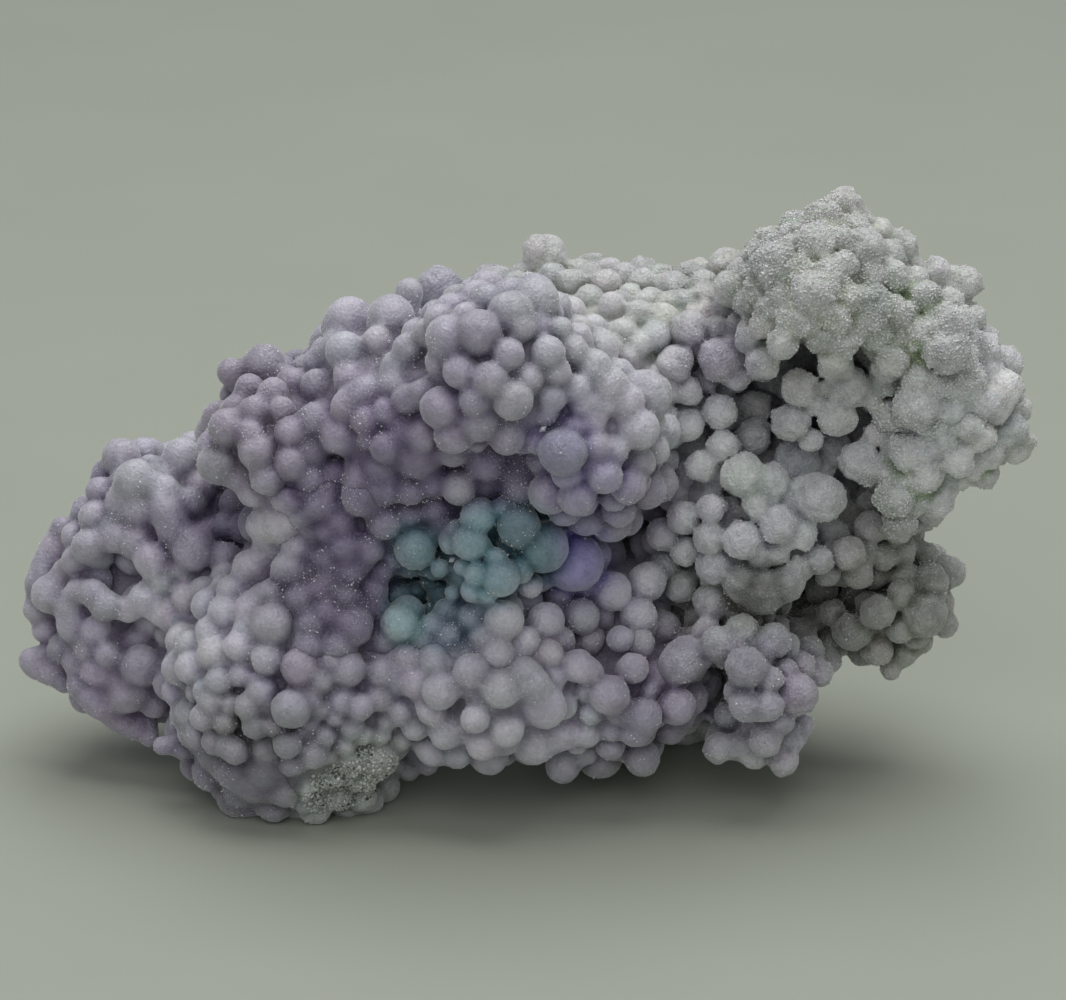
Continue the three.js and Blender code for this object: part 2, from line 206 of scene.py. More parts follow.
def spots_with(seen, back):
    """The middles, reaches in millimetres and strengths of the seen spots and of those on the back."""
    rows = [(*middle, spot[2] / PIXELS_PER_MM, spot[3]) for middle, spot in zip(seats_of(seen), seen)]
    return np.array(rows + back, float)


fused_spots = spots_with(FUSED, BACK_FUSED)
sunk_spots = spots_with(SUNK, BACK_SUNK)


def looseness(points):
    """1 where the beads stand singly, falling towards nothing in the middle of each fused place."""
    loose = np.ones(points.shape[:-1])
    for *middle, reach, share in fused_spots:
        apart = np.linalg.norm(points - middle, axis=-1) / reach
        loose = loose * (1 - share * np.exp(-apart ** 2))
    return loose


def crown_distance(points):
    """The body, sunk by a millimetre below the face that the beads make, but raised where they have fused."""
    return body_distance(points) + (SINK + RISE) * looseness(points) - RISE


def ground_distance(points):
    """The same, sunk further where the beads stand on stalks of their own with dark gaps between them."""
    further = np.zeros(points.shape[:-1])
    for *middle, reach, depth in sunk_spots:
        apart = np.linalg.norm(points - middle, axis=-1) / reach
        further = np.maximum(further, depth * np.exp(-apart ** 2))
    return crown_distance(points) + further


print(len(LUMPS), "lumps,", len(CUTS), "hollows and pits")

# %% [markdown]
# ## The beads that the picture shows
# Each bead is a row of pixel x, pixel y and radius in pixels, in groups that share a place and a character.
# They are read off the picture, so a bead may be a pixel or two off. The line of sight gives each its depth.
# Each group also has a seat, which is how far a bead stands off the crown of the mass as a share of its
# radius, a swelling, and the width in millimetres over which it melts into what it stands on. The smallest
# beads lie between the others, so they are sunk, widened and melted more.

# %% Beads listed
BEADS = {
    "left end": """228,428,20 218,464,21 182,457,20 121,457,20 136,480,22 100,491,15 163,490,16 168,510,18
        172,528,16 186,541,14 193,551,20 204,532,8 150,560,17 161,582,14 146,598,17 129,610,11 161,610,16
        187,596,15 110,528,9 116,539,12 89,546,18 100,557,14 54,546,14 62,528,10 64,571,10 77,590,10
        93,592,14 105,605,16 96,630,12 50,594,20 36,610,14 205,590,14 209,630,14 225,558,17 250,567,18
        230,590,14 166,635,10 182,626,12 178,658,11 190,668,16 214,653,12.5 166,671,10 239,646,15 30,659,10
        86,651,9 107,655,10 80,685,12 92,696,12 104,706,12 116,716,12 123,723,8 136,730,8 150,738,8
        162,746,8 35,666,10 50,674,10 65,682,10 45,630,14 70,625,12 62,648,12 75,560,12 140,512,12
        122,500,12 84,516,12 70,606,10 182,715,11 185,750,9 45,565,12 38,585,12""",
    "pink cluster": """231,372,12 265,365,22 297,368,20 249,388,15 273,392,15 254,410,15 281,410,14
        250,433,14 290,433,15 256,452,18 290,463,17 266,479,16 316,418,16""",
    "upper left": """350,320,24 345,351,20 331,327,8 391,318,24 377,340,14 407,347,14 409,292,12 345,406,14
        356,399,13 368,392,13 407,399,15 386,411,14 422,435,15 386,447,16 367,438,7 422,392,9""",
    "ridge": """440,288,23 449,338,23 479,333,23 466,318,15 460,372,17 490,379,18 513,400,20 441,408,21
        454,434,20 477,445,6 548,353,17 557,372,14 511,313,22 536,301,23 520,328,15 508,354,16 593,368,19
        608,385,20 624,402,20 638,429,21 646,396,26 576,389,15 584,404,14 603,405,13.5 553,398,14 546,414,9
        573,350,15 475,400,16 620,372,14 560,330,14 485,300,17 440,320,16""",
    "back top": """538,249,16 553,250,12 524,274,12 553,276,14 572,282,14 590,276,12 607,282,14 625,277,12
        643,282,14 662,277,13 688,276,13 675,286,12 705,285,13 590,300,13 612,305,14 630,297,12 650,302,13
        668,306,13 684,303,12 572,310,14 593,328,14 607,349,13 628,358,9 639,314,15 656,337,16 728,266,19
        733,288,20 710,300,13 700,318,12 715,330,14 640,345,10 622,332,12""",
    "basin": """327,493,11 318,503,14 361,497,17 386,521,16 409,512,11 262,526,12 272,524,12 283,522,12
        275,544,13 297,547,13.5 290,570,17 313,533,7 272,594,11 259,595,7 272,624,18 267,659,14 299,667,16
        352,626,18 337,645,13 347,669,16 381,672,14 409,658,13 398,680,12 340,520,11 345,545,12 325,560,11
        350,570,12 370,548,11 372,590,12 345,598,12 320,590,12 300,600,12 310,625,12 325,612,10 375,610,11
        385,640,12 310,645,12 328,530,9 398,540,9 305,575,9 330,578,9 362,560,8 300,515,9 285,498,10
        310,478,11 335,475,11 360,478,11 385,487,12 410,490,11 432,480,12 435,508,10 425,525,9 330,505,8
        375,505,9 395,555,9 382,570,9 362,608,8 338,620,8 250,610,11 248,630,10""",
    "centre": """563,452,24 595,446,13 577,497,19 568,472,17 605,476,18 628,486,18 611,522,21 658,484,20
        655,541,12 683,518,17 685,552,15 592,420,12 575,428,11 615,450,12 640,462,13 590,462,11 650,507,11
        665,460,12 640,505,9""",
    "teal": """458,488,17 415,549,21 407,613,18 400,624,20 478,516,18 457,532,12 451,543,12 466,545,10
        482,545,10 503,509,12 519,526,22 543,547,26 470,543,18 496,559,12 462,567,9 477,574,13 501,578,19
        472,591,12 452,593,8 520,570,14 488,592,12 440,568,10 430,580,10 418,590,10 445,610,12 545,530,14
        530,585,13""",
    "blue round the teal": """574,562,30 543,513,12 436,627,16 471,618,14 455,615,12 487,605,12 560,590,14
        425,640,12 450,636,12 560,520,13""",
    "below the teal": """504,620,20 546,621,19 582,617,18 612,591,20 647,582,20 639,616,19 620,639,14
        670,615,12 681,587,17 660,600,12 600,615,12 560,600,12 525,640,12 560,642,13 590,640,12 665,565,12""",
    "lower left": """262,691,13 256,680,8 196,692,9 207,691,12 214,701,13 203,717,14 220,681,13 231,705,9
        250,706,13 256,725,12 196,734,10 291,709,20 287,745,14 319,708,10 309,700,12 320,680,12 342,700,13
        379,697,12.5 360,707,14 400,711,12 387,720,9 416,727,12 351,727,11 362,734,9 300,732,6 309,732,6
        309,789,9 332,779,7 332,756,6 409,771,9 394,766,9 428,765,9 214,742,11 226,746,11 236,752,11
        270,705,10 275,725,10 310,722,9 325,735,10 335,715,10 345,745,9 380,735,9 400,740,10 425,745,10
        300,690,10 330,660,10 225,722,10""",
    "foot": """258,778,34 222,752,20 300,796,22 236,800,18""",
    "lobe": """471,671,17 440,692,18 501,690,19 534,686,17 545,707,22 522,673,12 475,719,15 507,730,17
        434,753,14 457,753,16 482,745,16 534,743,22 561,734,18 563,766,18 584,751,15 587,734,14 445,735,13
        435,660,12""",
    "lower right": """578,666,17 590,672,14 610,695,20 633,668,16 680,664,21 650,691,8 643,717,19 677,706,19
        635,730,17 684,732,13 642,758,19 618,749,10 698,731,10 693,760,14 719,748,16 754,756,12 765,740,17
        790,735,18 784,762,15 806,724,7 728,715,12 739,693,13 744,706,16 766,706,17 797,694,21 746,668,21
        773,641,18 742,631,17 706,631,15 720,643,18 712,602,20 685,655,20 811,650,14 829,661,11 820,673,12
        819,632,15 851,632,19 744,572,8 713,566,18 763,591,24 742,584,19 786,583,19 752,602,16 777,601,17
        660,740,13 700,745,12 740,745,12 770,680,14 780,720,13 620,710,13 700,655,13 735,650,12 760,655,12
        735,600,14 800,665,13 835,645,12""",
    "frosted": """675,364,19 720,360,22 738,376,16 690,330,20 687,391,16 721,411,18 756,406,17 753,436,19
        688,425,17 723,446,17 702,466,17 763,363,17 783,343,16 749,340,14 748,328,9 735,323,8 743,475,22
        771,481,20 797,463,24 756,505,14 769,498,10 806,500,16 821,498,25 711,508,15 731,510,11 710,538,17
        743,540,20 778,525,20 802,535,16 819,520,14 834,533,15 778,554,10 798,569,12 819,559,15 848,553,18
        858,572,17 870,528,16 834,449,18 861,462,22 760,555,12 835,555,12 670,435,12 668,390,12 665,415,11
        660,375,11 700,345,13 730,345,12 765,325,12""",
    "crust": """774,266,22 816,244,20 824,221,20 843,207,20 865,249,20 902,247,18 814,295,22 806,320,16
        893,277,16 923,298,18 937,272,13 967,282,17 951,301,12 937,312,9 977,315,9 947,325,20 947,349,22
        896,312,16 892,360,16 883,382,12 985,349,18 1006,363,18 972,382,16 1004,390,20 918,379,16 935,386,13
        955,389,12 916,406,24 890,416,16 937,428,13 909,452,19 925,475,18 959,462,15 968,427,14 989,454,13
        1011,430,18 1016,450,14 884,471,14 895,498,19 868,500,9 937,500,18 932,514,14 900,525,17 882,555,16
        900,548,16 895,571,14 923,554,14 790,250,14 795,228,13 770,240,12 860,225,13 880,232,14 840,240,14
        845,265,14 800,272,13 830,275,14 870,275,13 910,268,12 905,290,12 925,330,13 910,335,12 870,300,13
        850,300,12 840,320,11 868,322,11 960,360,12 985,370,12 930,405,12 950,412,12 980,405,12 995,410,12
        930,450,12 945,440,11 905,480,12 915,500,12 945,480,11 960,480,10 965,320,11 1020,410,11 1025,440,10
        1000,440,11 760,290,13 780,300,12 790,318,11 770,315,11 750,275,12 755,255,12""",
    "back lobe": """930,582,19 950,572,16 925,614,24 877,612,18 905,653,14 877,650,17 900,595,14 900,630,14
        940,605,13 945,625,12 860,630,12 890,670,9 920,640,12 905,575,12 940,565,11""",
}
CAVE_BEADS = """799,388,19 826,386,9 791,422,20 838,416,20 849,388,22 836,364,18 842,347,10 827,348,10
    815,405,12 810,440,12 875,435,12 872,400,11"""
CAVE_DEPTH = 2.0


def rows(text):
    """Rows of three numbers, from words that are numbers joined by commas."""
    return np.array([[float(number) for number in word.split(",")] for word in text.split()])


seen_rows = np.vstack([rows(text) for text in BEADS.values()])
SEATS = {
    "left end": (0.55, 1.0, 0.8), "pink cluster": (0.35, 1.0, 0.8), "upper left": (0.4, 1.0, 0.7),
    "ridge": (0.5, 1.0, 0.45), "back top": (0.6, 1.0, 0.6), "basin": (0.35, 1.15, 0.6),
    "centre": (0.7, 1.0, 0.4), "teal": (0.8, 1.0, 0.3), "blue round the teal": (0.45, 1.0, 0.5),
    "below the teal": (0.75, 1.0, 0.3), "lower left": (0.75, 1.0, 0.3), "foot": (-0.8, 1.0, 1.5),
    "lobe": (0.45, 1.0, 0.9), "lower right": (0.75, 1.0, 0.45), "frosted": (0.8, 1.0, 0.25),
    "crust": (0.55, 1.0, 0.5), "back lobe": (0.65, 1.0, 0.35),
}
seen_settings = np.vstack([np.tile(SEATS[name], (len(rows(text)), 1)) for name, text in BEADS.items()])
SMALL = 13.5
between = seen_rows[:, 2] < SMALL
between &= ~np.isin(np.concatenate([[name] * len(rows(text)) for name, text in BEADS.items()]), ["teal"])
seen_settings[between] *= (0.4, 1.2, 1.4)
seen_radii = seen_rows[:, 2] / PIXELS_PER_MM * seen_settings[:, 1]
seen_middles = seat_on(crown_distance, seen_rows[:, :2], seen_settings[:, 0], seen_radii)
cave_rows = rows(CAVE_BEADS)
cave_radii = cave_rows[:, 2] / PIXELS_PER_MM
cave_middles = sight_points(cave_rows[:, :2], np.full(len(cave_rows), CAVE_DEPTH))
print(len(seen_rows), "beads by eye and", len(cave_rows), "in the cave")

# %% [markdown]
# ## Stalks and fillers
# A bead that stands clear of the body needs something to stand on: the real ones grow on shorter rows of
# beads, so each gets a row that runs down the steepest way to the stone. The rest of the surface, and all
# that the picture doesn't show, is then filled with beads: points spread evenly over the lumps, taken in a
# seeded random order, and kept where they have room.

# %% Stalks
random = np.random.default_rng(11)
STALK_WIDTH = 0.72
STALK_ROOT = -0.3
CAVE_BACK = 14


def slope(points):
    """The direction in which the body's distance grows fastest, from differences over a small step."""
    shifts = np.eye(3) * 0.2
    grown = [body_distance(points + shift) - body_distance(points - shift) for shift in shifts]
    grown = np.stack(grown, axis=-1)
    return grown / np.maximum(np.linalg.norm(grown, axis=-1, keepdims=True), 1e-6)


def stalks(middles, radii):
    """Rows of smaller beads from each loose bead to the body, one bead for each step down."""
    loose = ground_distance(middles) > 0.95 * radii
    points, sizes = middles[loose].copy(), radii[loose] * STALK_WIDTH
    places, widths = [], []
    for _ in range(12):
        walking = ground_distance(points) > STALK_ROOT
        points[walking] -= slope(points[walking]) * 0.9 * sizes[walking, None]
        places.append(points[walking].copy())
        widths.append(sizes[walking].copy())
    return np.vstack(places), np.concatenate(widths)


def cave_stalks():
    """The beads in the cave hang on rows that run straight back, so that the cave stays open in front."""
    places, widths = [], []
    for middle, radius in zip(cave_middles, cave_radii):
        place = middle.copy()
        while ground_distance(place[None])[0] > STALK_ROOT and place[1] < CAVE_BACK:
            place = place + FORWARD * 0.7 * radius
            places.append(place)
            widths.append(0.7 * radius)
    return np.array(places), np.array(widths)


eyed_middles = np.vstack([seen_middles, cave_middles])
eyed_radii = np.concatenate([seen_radii, cave_radii])
stalk_middles, stalk_radii = stalks(seen_middles, seen_radii)
more_middles, more_radii = cave_stalks()
stalk_middles = np.vstack([stalk_middles, more_middles])
stalk_radii = np.concatenate([stalk_radii, more_radii])
print(len(stalk_radii), "beads in stalks")

# %% Fillers
FACING = 0.05
PACKING = 0.74
LOWEST = 0.4


def even_directions(count, turn):
    """Directions on a spiral from pole to pole, each turned by the golden angle from the last."""
    index = np.arange(count)
    level = 1 - (2 * index + 1) / count
    ring = np.sqrt(1 - level ** 2)
    angle = index * math.pi * (3 - math.sqrt(5)) + turn
    return np.column_stack([ring * np.cos(angle), ring * np.sin(angle), level])


def filler_candidates():
    """Even points on every lump, moved onto the body's surface, where they are on the outside."""
    places = []
    for lump in LUMPS:
        rx, ry, rz = lump[3:]
        count = int(4 * math.pi * (rx * ry + ry * rz + rz * rx) / 3 / 0.9)
        places.append(lump[:3] + even_directions(count, lump[0]) * lump[3:])
    points = np.vstack(places)
    points = points[body_distance(points) > -1.2]
    for _ in range(3):
        points = points - slope(points) * body_distance(points)[:, None]
    for _ in range(3):
        points = points - slope(points) * ground_distance(points)[:, None]
    pits = ellipsoid_distance(points, pit_shapes).min(-1)
    cave = ellipsoid_distance(points, HOLLOWS[:2]).min(-1)
    return points[(np.abs(ground_distance(points)) < 0.25) & (pits > 0.2) & (cave > 1.2)]


def fill(points, middles, radii):
    """Goes through the points in random order and keeps a bead wherever it is clear of the others."""
    order = random.permutation(len(points))
    outward = slope(points)
    front = outward @ -FORWARD > FACING
    loose = looseness(points)
    small = random.uniform(1.1, 1.8, len(points)) * (1.25 - 0.25 * loose)
    large = random.uniform(0.95, 2.2, len(points))
    sizes = np.where(front, small, large)
    all_middles = np.zeros((len(middles) + len(points), 3))
    all_radii = np.zeros(len(all_middles))
    count = len(middles)
    all_middles[:count] = middles
    all_radii[:count] = radii
    for index in order:
        place = points[index]
        if place[2] < LOWEST:
            continue
        apart = np.linalg.norm(all_middles[:count] - place, axis=1)
        if (apart > PACKING * (all_radii[:count] + sizes[index])).all():
            rise = 0.9 * loose[index] - 0.6 if front[index] else 0.8 * loose[index] - 0.2
            all_middles[count] = place + outward[index] * rise * sizes[index]
            all_radii[count] = sizes[index]
            count += 1
    return all_middles[:count], all_radii[:count]


bead_middles = np.vstack([eyed_middles, stalk_middles])
bead_radii = np.concatenate([eyed_radii, stalk_radii])
bead_middles, bead_radii = fill(filler_candidates(), bead_middles, bead_radii)
bead_blends = 0.45 + 0.55 * (1 - looseness(bead_middles))
bead_blends[:len(seen_rows)] = seen_settings[:, 2]
bead_blends *= random.uniform(0.6, 1.5, len(bead_blends))
print(len(bead_radii), "beads in all")

# %% [markdown]
# ## One skin over everything
# Separate balls would show hard joints and hundreds of hidden faces. So the distance is worked out on a grid
# of points, 0.3 mm apart: first the body, then each bead in its own small block of the grid, joined with a
# soft crease. The skin is where the distance is nothing.

# %% The distance grid
STEP = 0.3
MARGIN = 3 * STEP
ROOM = 3.5
low = np.array([bead_middles[:, 0].min(), bead_middles[:, 1].min(), 0.0]) - [ROOM, ROOM, MARGIN]
high = bead_middles.max(0) + ROOM
shape = np.ceil((high - low) / STEP).astype(int) + 1
axes = [low[axis] + STEP * np.arange(shape[axis]) for axis in range(3)]
FAR = 2.5
field = np.full(shape, FAR, np.float32)
owner = np.full(shape, -1, np.int16)


def block_of(middle, reach):
    """The slices of the grid within a reach of a middle."""
    first = np.maximum(np.floor((middle - reach - low) / STEP).astype(int), 0)
    last = np.minimum(np.ceil((middle + reach - low) / STEP).astype(int) + 1, shape)
    return tuple(slice(a, b) for a, b in zip(first, last))


def stretched(values, length, axis):
    """The values at every third point of an axis, with the two points between filled in on a line."""
    place = np.arange(length) / 3
    first = np.minimum(place.astype(int), values.shape[axis] - 2)
    part = (place - first).reshape([-1 if other == axis else 1 for other in range(3)])
    return values.take(first, axis) * (1 - part) + values.take(first + 1, axis) * part


def lay_body():
    """The body's distance at every third point of each axis, which is enough for a form this smooth."""
    coarse = [low[axis] + 3 * STEP * np.arange(shape[axis] // 3 + 2) for axis in range(3)]
    values = np.stack([ground_distance(np.stack(np.meshgrid([x], coarse[1], coarse[2], indexing="ij"), -1))[0]
                       for x in coarse[0]])
    for axis in range(3):
        values = stretched(values, shape[axis], axis)
    field[:] = np.minimum(FAR, values)


def lay_beads():
    """Each bead's distance is the length to its middle less its radius."""
    for index, (middle, radius, blend) in enumerate(zip(bead_middles, bead_radii, bead_blends)):
        block = block_of(middle, radius + 4 * STEP)
        x, y, z = (axes[axis][block[axis]] - middle[axis] for axis in range(3))
        ball = np.sqrt(x[:, None, None] ** 2 + y[None, :, None] ** 2 + z[None, None, :] ** 2) - radius
        ball = ball.astype(np.float32)
        here = field[block]
        owner[block] = np.where(ball < here, index, owner[block])
        field[block] = soft_least(here, ball, blend)


lay_body()
lay_beads()
print("grid", tuple(shape), "inside", int((field < 0).sum()))

# %% [markdown]
# ## Roughness that is real
# A bump in a material fades at the edge of the shape. The sugary crust is rough enough to show there, so its
# grain goes into the distance itself: smooth noise in two sizes, strong on the crust and the sandy patch,
# faint on the clean beads. Noise is only needed next to the skin.

# %% Noise
LATTICE = 32
lattice_values = np.random.default_rng(5).uniform(-1, 1, (LATTICE, LATTICE, LATTICE)).astype(np.float32)


def smooth_noise(points, size):
    """Random values on a lattice of this cell size, blended between its corners along an S curve."""
    scaled = points / size
    cell = np.floor(scaled).astype(int)
    part = scaled - cell
    part = part * part * (3 - 2 * part)
    total = np.zeros(len(points), np.float32)
    for corner in np.ndindex(2, 2, 2):
        index = (cell + corner) % LATTICE
        weight = np.prod(np.where(corner, part, 1 - part), axis=1)
        total += weight * lattice_values[index[:, 0], index[:, 1], index[:, 2]]
    return total


def soft_spot(points, pixel, radius):
    """1 at the stone's skin behind a pixel, falling to nothing as a bell over a radius in pixels."""
    middle = seat_on(lumps_distance, np.array([pixel], float), 0.0, np.zeros(1))
    apart = np.linalg.norm(points - middle, axis=1) / (radius / PIXELS_PER_MM)
    return np.exp(-apart ** 2)


def crustiness(points):
    """How sugary the skin is: nothing on the left, full on the pale crust and on its back."""
    across = 1 / (1 + np.exp(-(points[:, 0] - 13) / 2.5))
    upper = 1 / (1 + np.exp(-(points[:, 2] - 20) / 3))
    top_back = 1 / (1 + np.exp(-(points[:, 1] - 12) / 2)) / (1 + np.exp(-(points[:, 2] - 38) / 3))
    return np.clip(across * (0.45 + 0.55 * upper) + 0.6 * top_back * (1 - across), 0, 1)


CRAGS = [
    ((800, 232), 42), ((770, 285), 32), ((830, 295), 40), ((880, 310), 30), ((945, 345), 38),
    ((905, 420), 24), ((895, 500), 28),
]


def crag_share(points):
    """How crumbled the crust is: full on the arch over the cave and down the right rim."""
    return np.clip(sum(soft_spot(points, pixel, radius) for pixel, radius in CRAGS), 0, 1)


SAND = [((368, 778), 34), ((326, 795), 22)]


def sandiness(points):
    """The grey granular patch at the lower left."""
    return np.clip(sum(soft_spot(points, pixel, radius) for pixel, radius in SAND), 0, 1)


def roughen():
    """Adds noise to the distance of every grid point near the skin."""
    near = np.nonzero(np.abs(field) < 0.9)
    points = np.column_stack([axes[axis][near[axis]] for axis in range(3)])
    crust = crustiness(points)
    rough = 0.06 + 0.20 * crust + 0.22 * sandiness(points)
    crag = crag_share(points)
    wave = rough * smooth_noise(points, 0.7) + 0.5 * rough * smooth_noise(points + 31.7, 1.5)
    knobs = 0.3 - np.abs(smooth_noise(points + 7.3, 1.1)) - 0.6 * np.abs(smooth_noise(points + 3.9, 2.3))
    wave += 0.75 * crag * np.maximum(knobs, -0.55)
    field[near] += wave.astype(np.float32)


roughen()
heights = axes[2][None, None, :]
field = np.maximum(field, -heights.astype(np.float32))


def reached(start, open_places):
    """Spreads from the start through the open places, in sweeps along each axis, until nothing is added."""
    found = start & open_places
    total = -1
    while found.sum() != total:
        total = found.sum()
        for axis in range(3):
            layers = np.moveaxis(found, axis, 0)
            ways = np.moveaxis(open_places, axis, 0)
            for index in range(1, len(layers)):
                layers[index] |= layers[index - 1] & ways[index]
            for index in range(len(layers) - 2, -1, -1):
                layers[index] |= layers[index + 1] & ways[index]
    return found


edge = np.ones(shape, bool)
edge[1:-1, 1:-1, 1:-1] = False
bubbles = (field >= 0) & ~reached(edge, field >= 0)
field[bubbles] = -0.1
core = np.zeros(shape, bool)
STONE_MIDDLE = np.array([0.0, 10.0, 26.0])
core[block_of(STONE_MIDDLE, 1.0)] = True
crumbs = (field < 0) & ~reached(core, field < 0)
field[crumbs] = 0.1
print("noise laid on;", int(bubbles.sum()), "points of bubbles filled,", int(crumbs.sum()), "of crumbs cut")

# %% [markdown]
# ## From a distance to a mesh
# A net of four-sided faces is drawn over the skin: every grid cell that the skin crosses gets one point, at
# the mean of the places where the skin cuts the cell's edges, and every grid edge that it crosses gets one
# face between its four cells. Whole arrays do this at once. Sealed bubbles inside are left out.

# %% The net
CORNERS = np.array(list(np.ndindex(2, 2, 2)))
EDGES = [(a, b) for a in range(8) for b in range(a + 1, 8) if np.abs(CORNERS[a] - CORNERS[b]).sum() == 1]


def skin_net(distance, origin, step):
    """Points and four-sided faces where the distance is nothing, by the rule above."""
    inside = distance < 0
    size = np.array(distance.shape) - 1
    blocks = [inside[x:x + size[0], y:y + size[1], z:z + size[2]] for x, y, z in CORNERS]
    count = sum(block.astype(np.int8) for block in blocks)
    crossed = np.nonzero((count > 0) & (count < 8))
    number = np.full(size, -1, np.int32)
    number[crossed] = np.arange(len(crossed[0]))
    at_corners = [distance[crossed[0] + x, crossed[1] + y, crossed[2] + z] for x, y, z in CORNERS]
    values = np.stack(at_corners, axis=1)
    total = np.zeros((len(values), 3))
    cuts = np.zeros(len(values))
    for a, b in EDGES:
        cut = (values[:, a] < 0) != (values[:, b] < 0)
        share = np.where(cut, values[:, a] / np.where(cut, values[:, a] - values[:, b], 1), 0)
        total += cut[:, None] * (CORNERS[a] + share[:, None] * (CORNERS[b] - CORNERS[a]))
        cuts += cut
    points = origin + step * (np.stack(crossed, axis=1) + total / cuts[:, None])
    faces = []
    for axis in range(3):
        one, two = (axis + 1) % 3, (axis + 2) % 3
        shift = np.zeros(3, int)
        shift[axis] = 1
        ahead = inside[shift[0]:, shift[1]:, shift[2]:]
        here = inside[tuple(slice(0, n) for n in ahead.shape)]
        start = np.stack(np.nonzero(here != ahead), axis=1)
        outward = here[tuple(start.T)]
        side = np.eye(3, dtype=int)
        ring = [start - side[one] - side[two], start - side[two], start, start - side[one]]
        quad = np.stack([number[tuple(cell.T)] for cell in ring], axis=1)
        quad[~outward] = quad[~outward][:, ::-1]
        faces.append(quad)
    return points, np.vstack(faces)


# %% [markdown]
# ## Ten pieces
# One mesh of the whole skin would be far too fine to handle, so it is made in ten solid pieces. A straight
# cut would show as a line. Here each bead belongs to one piece, so the cuts run along the creases between
# beads, and just below the skin each piece reaches a little under its neighbours. Inside the stone the cuts
# are flat walls, since every hidden face is one too many.

# %% Pieces
REGIONS = ["agate_left", "agate_basin", "agate_ridge", "agate_lower", "agate_crust", "agate_frosted",
           "agate_lower_right", "agate_back_left", "agate_back_middle", "agate_back_right"]
REACH_UNDER = 0.4


def region_of(points):
    """The number of the piece that a place belongs to."""
    x, y, z = points[..., 0], points[..., 1], points[..., 2]
    number = np.where(x < -22, 0, np.where(z > 31, 2, 1))
    number = np.where((x >= -22) & (z < 17), 3, number)
    number = np.where(x > 12, np.where(z > 36, 4, np.where(z > 19, 5, 6)), number)
    back = np.where(x < -8, 7, np.where(x < 13, 8, 9))
    return np.where((y > 12) & (x > -26), back, number)


bead_region = region_of(bead_middles).astype(np.int8)
near_skin = np.nonzero(field < 1.5)
near_points = np.column_stack([axes[axis][near_skin[axis]] for axis in range(3)])
near_owner = owner[near_skin]
region = np.full(shape, -1, np.int8)
region[near_skin] = np.where(near_owner >= 0, bead_region[near_owner], region_of(near_points))
print("beads in each piece:", np.bincount(bead_region, minlength=len(REGIONS)))


def blurred(values, rounds):
    """The mean over each point and its neighbours, once along every axis for each round."""
    for _ in range(rounds):
        for axis in range(3):
            middle = np.moveaxis(values, axis, 0)
            soft = middle.copy()
            soft[1:-1] = (middle[:-2] + middle[1:-1] + middle[2:]) / 3
            values = np.moveaxis(soft, 0, axis)
    return values


def piece_distance(number):
    """The skin's distance, cut by the edge of the piece, which slopes outward just below the skin."""
    belongs = (region == number).astype(np.float32)
    edge = (0.5 - blurred(belongs, 2)) * 4 * STEP
    return np.maximum(field, edge + np.clip(field, -REACH_UNDER, 0))


# %% [markdown]
# ## Colour by place
# The stone's colour follows where it grew, so it is worked out at every point of the skin: a few named
# colours, each strongest at its own place and fading into the next, as the real zones do. A few of these
# places also hold painted light and shade. The grey in the recess under the crust is darkened as painted
# shade. The white frost is made paler than the frost itself as painted light, where the crust's rim faces
# down and where the beads lie under the arch. Beads differ a little from each other. Their tips are paler,
# partly because the skin is frosted with crystals there and partly as painted light. The creases and deep
# pockets are darkened as painted shade, the kind of light and dark that a bake could also give. The distance
# grid already knows how hidden each point is: the share of stone round it. Green moss grows in a few creases
# of the crust, and nowhere on the open beads. The hidden back is mottled in the same colours.

# %% Colours
COLOURS = {
    "pink mauve": (0.295, 0.25, 0.33),
    "mauve": (0.37, 0.32, 0.435),
    "pale mauve": (0.465, 0.45, 0.515),
    "pearl": (0.64, 0.62, 0.69),
    "lilac grey": (0.43, 0.40, 0.485),
    "violet": (0.18, 0.135, 0.245),
    "lilac blue": (0.37, 0.33, 0.50),
    "dusk plum": (0.23, 0.21, 0.27),
    "dusk grey": (0.25, 0.25, 0.25),
    "dusk blue": (0.20, 0.27, 0.36),
    # White frost, made paler than the frost itself: partly the crust's white, partly painted light.
    "lit white frost": (0.83, 0.84, 0.85),
    "plum": (0.215, 0.165, 0.30),
    "teal": (0.23, 0.42, 0.47),
    "pale teal": (0.31, 0.49, 0.52),
    "mid teal": (0.17, 0.33, 0.38),
    "deep teal": (0.09, 0.23, 0.28),
    "blue violet": (0.38, 0.335, 0.68),
    "frost": (0.72, 0.72, 0.755),
    "sage white": (0.65, 0.665, 0.63),
    "crust white": (0.72, 0.74, 0.69),
    # A grey darkened well below the stone's own grey: painted shade for the recess under the crust.
    "shaded stone grey": (0.18, 0.18, 0.15),
    "back grey": (0.36, 0.365, 0.315),
    "sage grey": (0.46, 0.50, 0.46),
}
